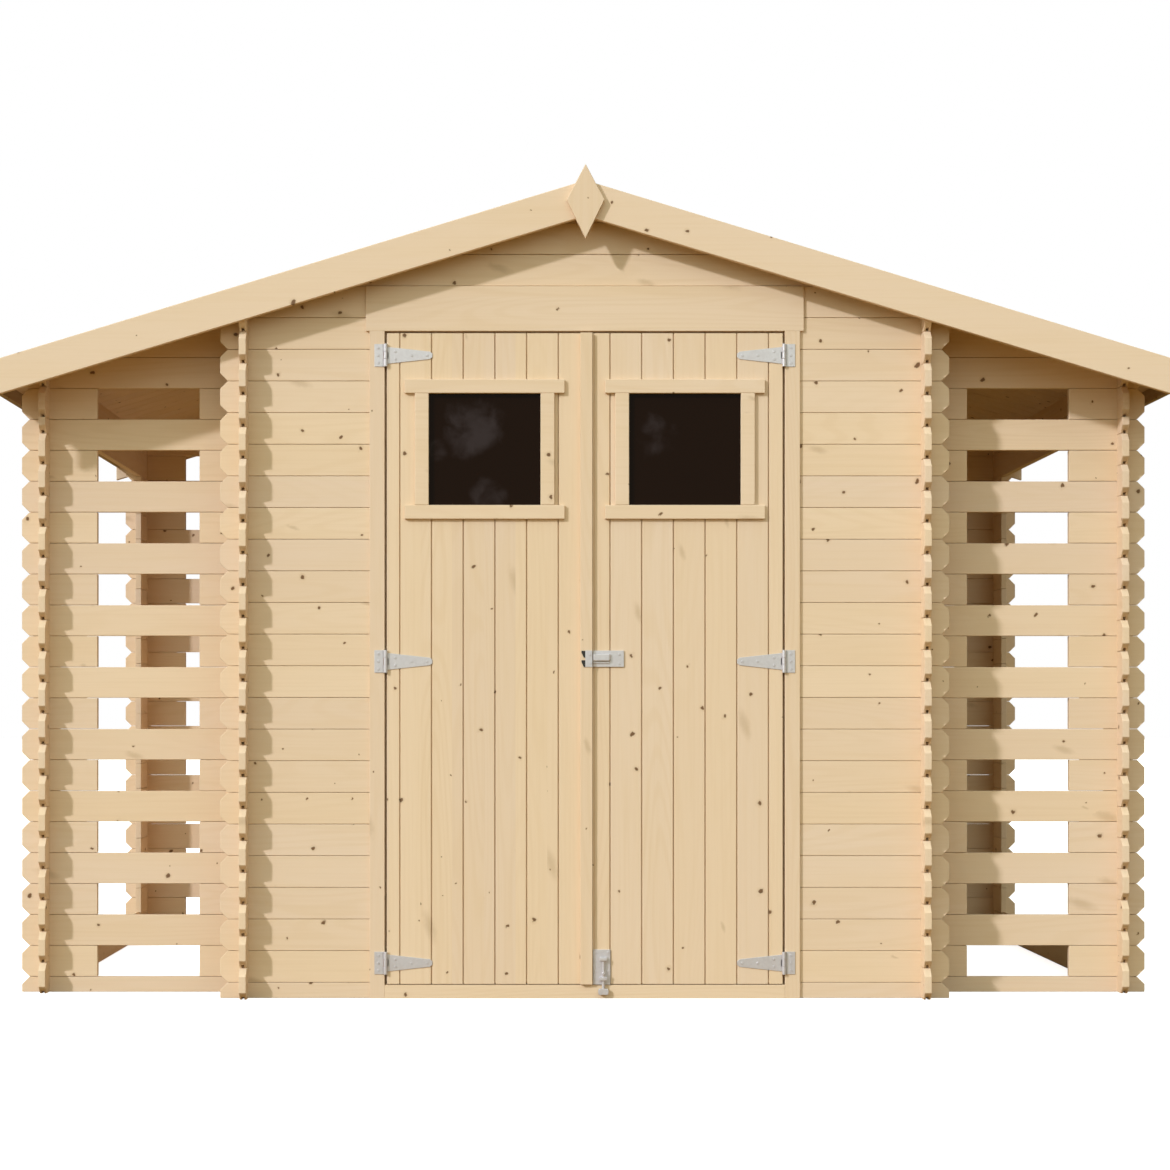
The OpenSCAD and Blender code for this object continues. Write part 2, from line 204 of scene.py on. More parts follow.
def mirrored(piece, name, axis=0):
    """A copy of a piece, turned over to the other side."""
    only(piece)
    bpy.ops.object.duplicate()
    twin = bpy.context.object
    twin.name = name
    twin.scale[axis] = -1
    bpy.ops.object.transform_apply(location=True, rotation=True, scale=True)
    bpy.ops.object.mode_set(mode="EDIT")
    bpy.ops.mesh.select_all(action="SELECT")
    bpy.ops.mesh.normals_make_consistent(inside=False)
    bpy.ops.object.mode_set(mode="OBJECT")
    return twin


# ---------- finishes ----------

def linked(tree, kind, inputs=(), **settings):
    """Add a shader node, set it and feed its inputs with numbers or with other nodes' outputs."""
    node = tree.nodes.new(kind)
    for key, value in settings.items():
        setattr(node, key, value)
    for key, value in dict(inputs).items():
        if isinstance(value, bpy.types.NodeSocket):
            tree.links.new(value, node.inputs[key])
        else:
            node.inputs[key].default_value = value
    return node


def sums(tree, operation, a, b=0.0, c=0.0):
    """One step of arithmetic, as an output."""
    return linked(tree, "ShaderNodeMath", {0: a, 1: b, 2: c}, operation=operation).outputs[0]


def between(tree, value, low, high, to_low=0.0, to_high=1.0):
    """A smooth ramp of a value from one range to another."""
    return linked(tree, "ShaderNodeMapRange", {
        "Value": value, "From Min": low, "From Max": high, "To Min": to_low, "To Max": to_high,
    }, interpolation_type="SMOOTHSTEP").outputs["Result"]


def blend(tree, share, under, over):
    """One colour over another."""
    node = linked(tree, "ShaderNodeMix", {"Factor": share}, data_type="RGBA")
    for socket, colour in ((node.inputs[6], under), (node.inputs[7], over)):
        if isinstance(colour, bpy.types.NodeSocket):
            tree.links.new(colour, socket)
        else:
            socket.default_value = (*colour, 1)
    return node.outputs[2]


def new_finish(name):
    """A material, its nodes and its surface shader."""
    material = bpy.data.materials.new(name)
    material.use_nodes = True
    return material, material.node_tree, material.node_tree.nodes["Principled BSDF"]


def toned(colour, tone):
    """A colour made lighter or darker."""
    return tuple(part * tone for part in colour)


def grain_noise(tree, a, b, c, scale, detail=2.0):
    """Noise on three coordinates."""
    spot = linked(tree, "ShaderNodeCombineXYZ", {0: a, 1: b, 2: c}).outputs[0]
    return linked(tree, "ShaderNodeTexNoise", {"Vector": spot, "Scale": scale, "Detail": detail}).outputs[0]


def knots(tree, a, b, lot, cells, share, size, soft):
    """Scattered spots: how deep in one a point lies, how near to its middle, and whether its cell has one.

    There are cells spots to a metre at most, share of them are there, and size is their mean radius.
    """
    spot = linked(tree, "ShaderNodeCombineXYZ", {
        0: sums(tree, "MULTIPLY_ADD", a, cells, lot),
        1: sums(tree, "MULTIPLY_ADD", b, cells, lot),
    }).outputs[0]
    cell = linked(tree, "ShaderNodeTexVoronoi", {"Vector": spot, "Scale": 1.0, "Randomness": 0.9},
                  voronoi_dimensions="2D")
    chance = linked(tree, "ShaderNodeSeparateColor", {0: cell.outputs["Color"]})
    there = sums(tree, "LESS_THAN", chance.outputs[0], share)
    reach = sums(tree, "MULTIPLY", sums(tree, "MULTIPLY_ADD", chance.outputs[1], 1.0, 0.3), size * cells)
    near = sums(tree, "DIVIDE", cell.outputs["Distance"], reach)
    return sums(tree, "MULTIPLY", there, between(tree, near, 1.0 + soft, 1.0 - soft)), near, there


def pine_knots(tree, a, b, own):
    """Small dark knots, the halo round each of them, and slanting stains."""
    bent = sums(tree, "MULTIPLY", sums(tree, "SUBTRACT", grain_noise(tree, a, b, own, 75.0), 0.5), 0.013)
    dark, near, there = knots(tree, sums(tree, "ADD", a, bent), sums(tree, "ADD", b, bent), own,
                              cells=9.5, share=0.42, size=0.0044, soft=0.30)
    halo = sums(tree, "MULTIPLY", there, between(tree, near, 2.6, 0.9))
    leaning = sums(tree, "MULTIPLY_ADD", b, 0.7, sums(tree, "MULTIPLY", a, 0.55))
    stain = knots(tree, leaning, sums(tree, "SUBTRACT", b, bent), sums(tree, "ADD", own, 5.3),
                  cells=5.0, share=0.36, size=0.011, soft=0.8)[0]
    return dark, halo, stain


def pine_grain(tree, a, b, c, own, halo):
    """Arches that bend round the knots, fine streaks, and broad clouds."""
    field = grain_noise(tree, sums(tree, "MULTIPLY", a, 0.8), sums(tree, "MULTIPLY", b, 7.0),
                        sums(tree, "MULTIPLY_ADD", c, 7.0, own), 1.0, 1.0)
    field = sums(tree, "ADD", field, sums(tree, "MULTIPLY", halo, 0.03))
    arches = between(tree, sums(tree, "SINE", sums(tree, "MULTIPLY", field, 120.0)), -0.2, 1.0)
    streaks = grain_noise(tree, sums(tree, "MULTIPLY", a, 3.0), sums(tree, "MULTIPLY", b, 160.0),
                          sums(tree, "MULTIPLY_ADD", c, 160.0, own), 1.0, 3.0)
    clouds = grain_noise(tree, sums(tree, "MULTIPLY", a, 1.6), sums(tree, "MULTIPLY", b, 9.0), own, 1.0, 2.0)
    return arches, streaks, clouds


def pine(name, grain, across, board, seam=0.0, tone=1.0, lot=0.0):
    """Planed, untreated pine: each board has its own tint, streaks and arches along it, and small knots.

    grain and across are the axes along a board and from board to board. board is the step from one board to
    the next, and seam is where one of them starts.
    """
    material, tree, shader = new_finish(name)
    spot = linked(tree, "ShaderNodeSeparateXYZ", {
        0: linked(tree, "ShaderNodeTexCoord").outputs["Object"]})
    a = spot.outputs[grain]
    b = spot.outputs[across]
    c = spot.outputs[3 - grain - across]
    number = sums(tree, "FLOOR", sums(tree, "DIVIDE", sums(tree, "SUBTRACT", b, seam), board))
    chance = linked(tree, "ShaderNodeTexWhiteNoise", {"W": sums(tree, "ADD", number, lot + 0.5)},
                    noise_dimensions="1D")
    own = sums(tree, "MULTIPLY", chance.outputs["Value"], 37.0)
    tints = linked(tree, "ShaderNodeSeparateColor", {0: chance.outputs["Color"]})

    dark, halo, stain = pine_knots(tree, a, b, own)
    arches, streaks, clouds = pine_grain(tree, a, b, c, own, halo)

    colour = blend(tree, tints.outputs[0], toned(PALE, tone), toned(PINK, tone))
    colour = blend(tree, sums(tree, "MULTIPLY", tints.outputs[2], 0.35), colour, toned(HONEY, tone))
    colour = blend(tree, between(tree, clouds, 0.35, 0.75, 0.0, 0.28), colour, toned(CLOUD, tone))
    strength = sums(tree, "MULTIPLY_ADD", tints.outputs[1], 0.14, 0.02)
    colour = blend(tree, sums(tree, "MULTIPLY", arches, strength), colour, toned(ARCH, tone))
    colour = blend(tree, between(tree, streaks, 0.42, 0.72, 0.0, 0.20), colour, toned(STREAK, tone))
    colour = blend(tree, sums(tree, "MULTIPLY", stain, 0.42), colour, STAIN)
    colour = blend(tree, sums(tree, "MULTIPLY", halo, 0.26), colour, HALO)
    colour = blend(tree, sums(tree, "MULTIPLY", dark, 0.92), colour, KNOT)
    tree.links.new(colour, shader.inputs["Base Color"])
    shader.inputs["Roughness"].default_value = 0.62
    shader.inputs["Specular IOR Level"].default_value = 0.28
    height = sums(tree, "SUBTRACT", streaks, sums(tree, "MULTIPLY", dark, 0.6))
    bump = linked(tree, "ShaderNodeBump", {"Height": height, "Strength": 0.25, "Distance": 0.0008})
    tree.links.new(bump.outputs[0], shader.inputs["Normal"])
    return material


def zinc_plate():
    """Bright zinc on steel, with faint spangles."""
    material, tree, shader = new_finish("zinc")
    spot = linked(tree, "ShaderNodeTexCoord").outputs["Object"]
    spangle = linked(tree, "ShaderNodeTexVoronoi", {"Vector": spot, "Scale": 160.0})
    cloud = linked(tree, "ShaderNodeTexNoise", {"Vector": spot, "Scale": 60.0, "Detail": 3.0}).outputs[0]
    shade = linked(tree, "ShaderNodeSeparateColor", {0: spangle.outputs["Color"]}).outputs[0]
    dull, bright, cloudy = (0.64, 0.60, 0.62), (0.68, 0.64, 0.66), (0.61, 0.57, 0.58)
    colour = blend(tree, shade, dull, bright)
    colour = blend(tree, between(tree, cloud, 0.4, 0.8, 0.0, 0.5), colour, cloudy)
    tree.links.new(colour, shader.inputs["Base Color"])
    tree.links.new(between(tree, cloud, 0.3, 0.7, 0.38, 0.5), shader.inputs["Roughness"])
    shader.inputs["Metallic"].default_value = 0.55
    return material


def slot_shade_finish():
    """Black, slightly mottled: painted shadow for the dark slots beside the latch keeper."""
    material, tree, shader = new_finish("painted_slot_shade")
    spot = linked(tree, "ShaderNodeTexCoord").outputs["Object"]
    cloud = linked(tree, "ShaderNodeTexNoise", {"Vector": spot, "Scale": 300.0, "Detail": 3.0}).outputs[0]
    black, paler_shade = (0.012, 0.010, 0.008), (0.030, 0.026, 0.022)
    colour = blend(tree, cloud, black, paler_shade)
    tree.links.new(colour, shader.inputs["Base Color"])
    shader.inputs["Roughness"].default_value = 0.6
    return material


def painted_pane():
    """Panes painted dark for the shaded room behind them, with painted faint cloudy reflections."""
    material, tree, shader = new_finish("pane")
    spot = linked(tree, "ShaderNodeTexCoord").outputs["Object"]
    cloud = linked(tree, "ShaderNodeTexNoise", {
        "Vector": spot, "Scale": 15.0, "Detail": 5.0, "Distortion": 0.4})
    near = 0.0
    for x, z, reach, strength in PAINTED_REFLECTIONS:
        away = linked(tree, "ShaderNodeVectorMath", {
            0: spot, 1: (x, LEAF_Y, z)}, operation="DISTANCE").outputs["Value"]
        near = sums(tree, "MAXIMUM", near, between(tree, away, reach, 0.2 * reach, 0.0, strength))
    # Painted reflection: pale clouds and patches laid over the pane.
    reflection_share = between(tree, sums(tree, "MULTIPLY_ADD", cloud.outputs[0], 0.9, near), 0.74, 1.12)
    # Painted shade: the near-black brown stands in for the dark room behind the pane, and the paler tint is
    # the painted reflection.
    dark, reflected_tint = (0.0105, 0.0033, 0.0008), (0.043, 0.031, 0.031)
    colour = blend(tree, sums(tree, "MULTIPLY", reflection_share, 0.75), dark, reflected_tint)
    tree.links.new(colour, shader.inputs["Base Color"])
    shader.inputs["Roughness"].default_value = 0.12
    shader.inputs["Specular IOR Level"].default_value = 0.07
    return material


# Each lot gives the boards other tints, knots and grain. The barge boards share one tint.
LOGS_X = pine("pine_end_walls", 0, 2, PLANK, seam=HALF, lot=3)
LOGS_X_REAR = pine("pine_rear_walls", 0, 2, PLANK, seam=HALF, lot=211)
LOGS_Y = pine("pine_side_walls", 1, 2, PLANK, lot=57)
ROOFING = pine("pine_roof_boards", 0, 1, PLANK, lot=91, tone=0.98)
DOOR_BOARDS = pine("pine_door_boards", 2, 0, PLANK, seam=GROOVE_X, lot=130)
BOARD_X = pine("pine_board_flat", 0, 2, BOARD, lot=17)
BOARD_Y = pine("pine_board_deep", 1, 2, BOARD, lot=23, tone=0.97)
BOARD_Z = pine("pine_board_upright", 2, 0, BOARD, seam=-0.15, lot=29)
TRIM = pine("pine_trim", 0, 2, BOARD, lot=41)
BARGES = pine("pine_barges", 0, 2, 1.2, lot=63, tone=1.02)
# The eave strips' pine is toned down to 0.55: painted shade for the dark under the eaves.
BATTEN_IN_PAINTED_SHADE = pine("pine_batten_painted_shade", 1, 2, BOARD, lot=77, tone=0.55)
ZINC = zinc_plate()
# Painted shadow for the keeper's slots.
SLOT_SHADE = slot_shade_finish()
GLASS = painted_pane()


def place(piece, body, material, slot, *nodes):
    """Give a finished piece its material and its body, and hide the nodes it stands for. The slot is not
    used.
    """
    piece.data.materials.clear()
    piece.data.materials.append(material)
    only(piece)
    bpy.ops.object.shade_smooth_by_angle(angle=math.radians(46))
    use(piece, "WEIGHTED_NORMAL", keep_sharp=True, weight=100)
    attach(piece, body)
    if nodes:
        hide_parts(*nodes)
    return piece


# ---------- logs ----------

def log(name, low, high, along, tips=(), foot=True, tongue=True):
    """One plank with its ends sawn to slanted corners, its edges eased and a tongue on top."""
    low = Vector(low)
    high = Vector(high)
    plank = block(name, low, high - Vector((0, 0, TOP_GAP)))
    cuts = []
    for side in tips:
        end = (high if side > 0 else low).copy()
        end[along] -= side * CHAMFER
        outward = Vector((0, 0, 1))
        outward[along] = side
        cuts.append(((end[0], end[1], high[2] - TOP_GAP), outward))
        if foot:
            cuts.append(((end[0], end[1], low[2]), Vector((outward[0], outward[1], -1))))
    saw(plank, *cuts)
    ease(plank)
    for side in tips if foot else ():
        tip = high[along] if side > 0 else low[along]
        inner, outer = sorted((tip - side * GROOVE_RUN, tip))
        middle = (high[1 - along] + low[1 - along]) / 2
        groove_low = [middle - GROOVE / 2, middle - GROOVE / 2, low[2] - GROOVE]
        groove_high = [middle + GROOVE / 2, middle + GROOVE / 2, low[2] + GROOVE]
        groove_low[along], groove_high[along] = inner, outer
        cut_out(plank, groove_low, groove_high)
    if tongue:
        margin = Vector((0, 0, 0))
        margin[1 - along] = (high[1 - along] - low[1 - along]) / 3
        margin[along] = CHAMFER * 1.5 if tips else END_GAP
        spline = block(name + "_tongue", low + margin + Vector((0, 0, high[2] - low[2] - 3 * TOP_GAP)),
                       high - margin + Vector((0, 0, TONGUE)))
        plank = join(name, [plank, spline])
    return plank


def stack(name, low, high, along, tips=(), cut_foot=False):
    """A wall of planks on top of each other. With cut_foot, the lowest one is half a plank."""
    planks = []
    start = low[2]
    if cut_foot:
        start += HALF
        planks.append(log(name, low, (high[0], high[1], start), along, tips, foot=False))
    count = math.ceil((high[2] - start) / PLANK - 0.001)
    course = log(name, (low[0], low[1], start), (high[0], high[1], start + PLANK), along, tips)
    planks.append(repeat(course, count, (0, 0, PLANK)))
    return join(name, planks)


def fit_under_roof(piece):
    """Saw off what would stand through the roof boards."""
    peak = (0, 0, ROOF_UNDER)
    return saw(piece, (peak, (PITCH, 0, 1)), (peak, (-PITCH, 0, 1)))


def shed_walls():
    """Four log walls that cross at the corners, with the doorway left open in front."""
    inner, outer = side_low[0], side_high[0]
    tip, end = rear_high[0], side_high[1]
    thick = side_high[0] - side_low[0]
    lintel = HALF + PLANK * math.floor((DOOR_TOP - HALF) / PLANK)   # seam below the top of the doorway
    for side, word in ((1, "right"), (-1, "left")):
        low, high = sorted((side * inner, side * outer))
        wall = stack(f"{word}_wall_logs", (low, -end, 0), (high, end, PEAK), 1, (-1, 1))
        place(fit_under_roof(wall), "shed", LOGS_Y, "timber", f"{word}_wall")
        low, high = sorted((side * DOOR_X, side * tip))
        wall = stack(f"front_logs_{word}", (low, FRONT_Y, 0), (high, FRONT_Y + thick, lintel + PLANK), 0,
                     (side,), cut_foot=True)
        place(wall, "shed", LOGS_X, "timber", f"front_wall_{word}")
    seam = lintel + PLANK
    gable = stack("front_gable_logs", (-tip, FRONT_Y, seam), (tip, FRONT_Y + thick, PEAK), 0, (-1, 1))
    over_door = log("over_door", (-DOOR_X, FRONT_Y, DOOR_TOP), (DOOR_X, FRONT_Y + thick, seam), 0)
    gable = join("front_gable_logs", [gable, over_door])
    place(fit_under_roof(gable), "shed", LOGS_X, "timber", "front_gable")
    rear = stack("rear_wall_logs", (-tip, -FRONT_Y - thick, 0), (tip, -FRONT_Y, PEAK), 0, (-1, 1),
                 cut_foot=True)
    place(fit_under_roof(rear), "shed", LOGS_X_REAR, "timber", "rear_wall")


def store_end(front):
    """The slatted end wall of the right-hand store, at the front or at the rear."""
    inner, tip = side_high[0], store_high[0]
    y = (store_low[1], store_high[1]) if front else (-store_high[1], -store_low[1])
    pair = 2 * PLANK

    def row(name, x_low, x_high, z, tips, count, **options):
        """Planks of one kind, two plank heights apart."""
        plank = log(name, (x_low, y[0], z), (x_high, y[1], z + PLANK), 0, tips, **options)
        return repeat(plank, count, (0, 0, pair))

    foot = log("foot", (inner, y[0], 0), (tip, y[1], HALF), 0, (1,), foot=False, tongue=False)
    slats = row("slats", inner, tip, HALF + PLANK, (1,), SLOTS - 1, tongue=False)
    near = row("near_blocks", inner, inner + BLOCK, HALF, (), SLOTS)
    far = row("far_blocks", rail_low[0] - BLOCK, tip, HALF, (1,), SLOTS)
    over = HALF + (2 * SLOTS - 1) * PLANK
    top = stack("top", (inner, y[0], over), (tip, y[1], store_high[2]), 0, (1,))
    return fit_under_roof(join("store_end", [foot, slats, near, far, top]))


def log_stores():
    """Both stores: slatted ends, corner posts of short logs, and rails along the open sides."""
    low_x, high_x = rail_low[0], rail_high[0]
    end = rail_high[1]
    post_in = store_low[1] + (side_high[0] - side_low[0]) + BLOCK
    for front, word, finish in ((True, "front", LOGS_X), (False, "rear", LOGS_X_REAR)):
        right = store_end(front)
        left = mirrored(right, f"left_store_{word}_logs")
        right.name = f"right_store_{word}_logs"
        place(right, "shed", finish, "timber", f"right_store_{word}")
        place(left, "shed", finish, "timber", f"left_store_{word}")
    post = stack("posts", (low_x, -end, post_low[2]), (high_x, post_in, post_high[2]), 1, (-1,))
    post = saw(post, ((0, 0, post_high[2] - TOP_GAP), (0, 0, 1)))
    posts = join("right_store_post_logs", [post, mirrored(post, "rear_posts", 1)])
    rail = log("right_store_foot_log", rail_low, rail_high, 1, (-1, 1))
    head = stack("right_store_head_logs", (low_x, -end, post_high[2]),
                 (high_x, end, ROOF_UNDER - PITCH * low_x), 1, (-1, 1))
    fit_under_roof(head)
    for piece, node in ((posts, "posts"), (rail, "bottom_rail"), (head, "top_rail")):
        twin = mirrored(piece, piece.name.replace("right", "left"))
        place(piece, "shed", LOGS_Y, "timber", f"right_store_{node}")
        place(twin, "shed", LOGS_Y, "timber", f"left_store_{node}")


# ---------- roof ----------

def sloped(name, low, high, top, drop):
    """A board that follows the right-hand slope.

    Its top would meet the ridge line at the height top, and drop is its thickness straight down.
    """
    board = block(name, (low[0], low[1], 0), (high[0], high[1], PEAK + 1))
    return saw(board, ((0, 0, top), (PITCH, 0, 1)), ((0, 0, top - drop), (-PITCH, 0, -1)))


def roof_boards():
    """Boards that run from the ridge down to the eaves, with a tongue in each seam."""
    depth = roof_high[1]
    count = round(2 * depth / PLANK)
    cover = 2 * depth / count
    drop = PEAK - ROOF_UNDER
    board = sloped("roof_boards", (0, -depth), (EAVE, -depth + cover - ROOF_GAP), PEAK, drop)
    ease(board, width=0.0010)
    tongue = sloped("tongue", (END_GAP, -depth + cover / 2), (EAVE - END_GAP, -depth + cover + TONGUE),
                    PEAK - drop / 3, drop / 3)
    boards = repeat(join("right_roof_boards", [board, tongue]), count, (0, cover, 0))
    saw(boards, ((0, depth, 0), (0, 1, 0)))
    twin = mirrored(boards, "left_roof_boards")
    place(boards, "shed", ROOFING, "timber", "right_roof")
    place(twin, "shed", ROOFING, "timber", "left_roof")


def ridge_and_eaves():
    """The beam under the ridge, and a strip under each eave."""
    low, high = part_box("ridge_beam")
    beam = ease(fit_under_roof(block("ridge_beam_timber", low, (high[0], high[1], PEAK))), width=0.003)
    place(beam, "shed", BOARD_Y, "sawn_timber", "ridge_beam")

    low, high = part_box("right_eave_strip")
    strip = ease(fit_under_roof(block("right_eave_strip_timber", low, high)), width=0.002)
    twin = mirrored(strip, "left_eave_strip_timber")
    # The strips' darker pine is painted shade under the eaves.
    place(strip, "shed", BATTEN_IN_PAINTED_SHADE, "sawn_timber", "right_eave_strip")
    place(twin, "shed", BATTEN_IN_PAINTED_SHADE, "sawn_timber", "left_eave_strip")


def barge_boards():
    """Two sloping boards on the front of the roof, and two on the rear."""
    mitre = TOP_GAP / 2                     # each barge board stops this far from the middle
    barge = sloped("barge", (mitre, barge_low[1]), (EAVE, barge_high[1]), PEAK, BARGE)
    ease(barge, width=0.0022)
    front = join("front_barge_timber", [barge, mirrored(barge, "barge_left")])
    rear = mirrored(front, "rear_barge_timber", 1)
    place(front, "shed", BARGES, "timber", "front_barge_boards")
    place(rear, "shed", BARGES, "timber", "rear_barge_boards")


def pointed_boards():
    """A pointed board over the barge boards' joint at each end of the ridge."""
    low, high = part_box("front_finial")
    wide = high[2] - 0.48 * (high[2] - low[2])      # height of its widest place
    point = block("front_finial_timber", low, high)
    cuts = []
    for side in (-1, 1):
        cuts.append(((0, 0, high[2]), (side * (high[2] - wide), 0, high[0])))
        cuts.append(((0, 0, low[2]), (side * (wide - low[2]), 0, -high[0])))
    ease(saw(point, *cuts), width=0.0018)
    twin = mirrored(point, "rear_finial_timber", 1)
    place(point, "shed", BOARD_Z, "timber", "front_finial")
    place(twin, "shed", BOARD_Z, "timber", "rear_finial")


# ---------- doorway ----------

def door_frame():
    """Header, jambs and sill, planed boards with eased edges."""
    finishes = {"door_header": BOARD_X, "left_jamb": BOARD_Z, "right_jamb": BOARD_Z, "door_sill": BOARD_X}
    for node, finish in finishes.items():
        board = ease(block(node + "_board", *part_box(node)), width=0.0010)
        place(board, "shed", finish, "timber", node)


def door_stops():
    """Thin stops round the doorway, a little way behind the doors, that close the gaps around them."""
    behind = 0.005                          # room between a door and its stops
    width = 0.012
    lap = 0.008                             # how far a door laps over the stops above and below it
    low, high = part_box("left_door")
    front = high[1] + behind
    back = FRONT_Y + side_high[0] - side_low[0]
    inner = DOOR_X - width
    stops = [block("stop", (x, front, sill_top), (x + width, back, DOOR_TOP)) for x in (-DOOR_X, inner)]
    stops += [block("stop", (-inner, front, z_low), (inner, back, z_high))
              for z_low, z_high in ((sill_top, low[2] + lap), (high[2] - lap, DOOR_TOP))]
    place(join("door_stops", [ease(stop, width=0.0008) for stop in stops]), "shed", BOARD_Z, "timber")


def leaf_edges(side, low, high):
    """The edges of one door's boards from left to right: the first seam is beside the middle."""
    edges = [low, high]
    reach = GROOVE_X
    while reach < max(-low, high):
        edges.append(side * reach)
        reach += PLANK
    return sorted(edges)


def door_boards(word, side):
    """Upright boards with open seams, a tongue behind each seam, and a hole for the window."""
    low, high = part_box(f"{word}_door")
    pane_low, pane_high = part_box(f"{word}_window_glass")
    foot = low[2] - DOOR_FOOT
    root = 0.005                            # a tongue starts this far inside its board and its back
    edges = leaf_edges(side, low[0], high[0])
    boards = []
    for x_low, x_high in zip(edges, edges[1:]):
        last = x_high == edges[-1]
        gap = 0 if last else BOARD_GAP
        board = ease(block("board", (x_low, low[1], foot), (x_high - gap, high[1], high[2])), width=0.0010)
        if x_high > pane_low[0] and x_low < pane_high[0]:
            cut_out(board, (pane_low[0], low[1] - 1, pane_low[2]), (pane_high[0], high[1] + 1, pane_high[2]))
        boards.append(board)
        if last:
            continue
        runs = [(foot + END_GAP, high[2] - END_GAP)]
        if pane_low[0] < x_high < pane_high[0]:
            runs = [(foot + END_GAP, pane_low[2]), (pane_high[2], high[2] - END_GAP)]
        for z_low, z_high in runs:
            boards.append(block("tongue", (x_high - root, low[1] + LEAF_GROOVE, z_low),
                                (x_high + TONGUE, high[1] - root, z_high)))
    if side > 0:
        # The rebate stays a little inside the door's front, back and top.
        rebate = block("rebate", (low[0] - MEETING, low[1] + 0.0015, foot),
                       (low[0] + TONGUE, high[1] - TONGUE, high[2] - 0.001))
        boards.append(ease(rebate, width=0.0006))
    leaf = join(f"{word}_door_boards", boards)
    place(leaf, f"{word}_door", DOOR_BOARDS, "timber", f"{word}_door")


def window(word, trim_finish):
    """A fixed pane, with trims above, below and on both sides."""
    pane_low, pane_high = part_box(f"{word}_window_glass")
    pane = ease(block(f"{word}_window_pane", pane_low, pane_high), width=0.0008)
    place(pane, f"{word}_door", GLASS, "glass", f"{word}_window_glass")

    low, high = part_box(f"{word}_window_trim")
    width = high[2] - pane_high[2]
    flat = [block("trim", (low[0], low[1], z), (high[0], high[1], z + width))
            for z in (low[2], pane_high[2])]
    upright = [block("trim", (x, low[1], pane_low[2]), (x + width, high[1] - 0.0005, pane_high[2]))
               for x in (pane_low[0] - width, pane_high[0])]
    trims = join(f"{word}_window_boards", [ease(trim, width=0.0018) for trim in flat + upright])
    place(trims, f"{word}_door", trim_finish, "timber", f"{word}_window_trim")


def door_ledges(word):
    """Three ledges across the back of a door: foot, latch height and top."""
    low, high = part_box(f"{word}_door_ledges")
    middle = latch_low[2] + (latch_high[2] - latch_low[2]) / 2 - PLANK / 2
    ledges = [ease(block("ledge", (low[0], low[1], z), (high[0], high[1], z + PLANK)), width=0.003)
              for z in (low[2], middle, high[2] - PLANK)]
    ledges = join(f"{word}_door_ledge_boards", ledges)
    place(ledges, f"{word}_door", BOARD_X, "sawn_timber", f"{word}_door_ledges")


def meeting_strip():
    """The strip on the left door, beside the line where the doors meet: it stops short of the right door."""
    low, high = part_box("meeting_strip")
    strip = ease(block("meeting_strip_board", (low[0], low[1], low[2] - DOOR_FOOT), high), width=0.0008)
    place(strip, "left_door", BOARD_Z, "timber", "meeting_strip")


# ---------- metalwork ----------

def screw(x, y, z):
    """A low domed screw head that faces the front, with a cross cut in it."""
    dome = 0.0010                           # how far it stands out
    head = rod("screw", (x, y - dome, z), 0.0014, SCREW, axis=1, sides=20)
    ease(head, width=0.0008)
    arm = SCREW * 0.62                      # half the length of the cross, which is 1 mm wide
    for wide, tall in ((arm, 0.0005), (0.0005, arm)):
        cut_out(head, (x - wide, y - 3 * dome, z - tall), (x + wide, y - 0.0004, z + tall))
    return head


def screws(points, y):
    """A screw head at each (x, z) point, on a front at y."""
    return [screw(x, y, z) for x, z in points]


def hinge_plate(z, pin_x, pin_y, outer):
    """A fixed plate whose middle is at height z, with two knuckles, the pin and three screws."""
    face = LEAF_Y - SHEET
    flat = pin_x + 0.006                    # where the flat of the plate starts
    third = PLATE_H / 6                     # from z to the foot of the upper knuckle
    plate = block("plate", (flat, face, z - PLATE_H / 2), (outer, LEAF_Y, z + PLATE_H / 2))
    parts = [ease(plate, width=0.0008)]
    for low, high in ((-PLATE_H / 2, -third), (third, PLATE_H / 2)):
        wrap = block("wrap", (pin_x, face, z + low), (flat + 0.002, LEAF_Y, z + high))
        parts.append(ease(wrap, width=0.0005))
        parts.append(ease(rod("knuckle", (pin_x, pin_y, z + low), high - low, KNUCKLE), width=0.0006))
    parts.append(rod("pin", (pin_x, pin_y, z - PLATE_H / 2), PLATE_H, PIN))
    middle = (flat + outer) / 2 + 0.001
    return parts + screws([(middle, z + up) for up in (-0.020, 0, 0.020)], face)


def hinge_strap(z, pin_x, pin_y, tip_x):
    """A tapered strap whose middle is at height z, with the middle knuckle and four screws."""
    face = LEAF_Y - SHEET
    start = pin_x - STRAP_START
    fall = (ROOT_H - TIP_H) / 2
    corner = 0.006                          # length of the slanted corners at the tip
    strap = block("strap", (tip_x, face, z - ROOT_H / 2), (start, LEAF_Y, z + ROOT_H / 2))
    cuts = []
    for up in (-1, 1):
        cuts.append(((tip_x, 0, z + up * TIP_H / 2), (-fall, 0, up * (start - tip_x))))
        cuts.append(((tip_x, 0, z + up * TIP_H / 4), (-TIP_H / 4, 0, up * corner)))
    parts = [ease(saw(strap, *cuts), width=0.0007)]
    tall = PLATE_H / 6 - 0.0005             # half the height of the middle knuckle
    neck = block("neck", (pin_x - KNUCKLE - 0.003, face, z - tall), (pin_x, LEAF_Y, z + tall))
    parts.append(ease(neck, width=0.0005))
    parts.append(ease(rod("knuckle", (pin_x, pin_y, z - tall), 2 * tall, KNUCKLE), width=0.0006))
    holes = ((0.014, 0), (0.055, 0), (0.098, -0.010), (0.098, 0.010))
    return parts + screws([(tip_x + along, z + up) for along, up in holes], face)


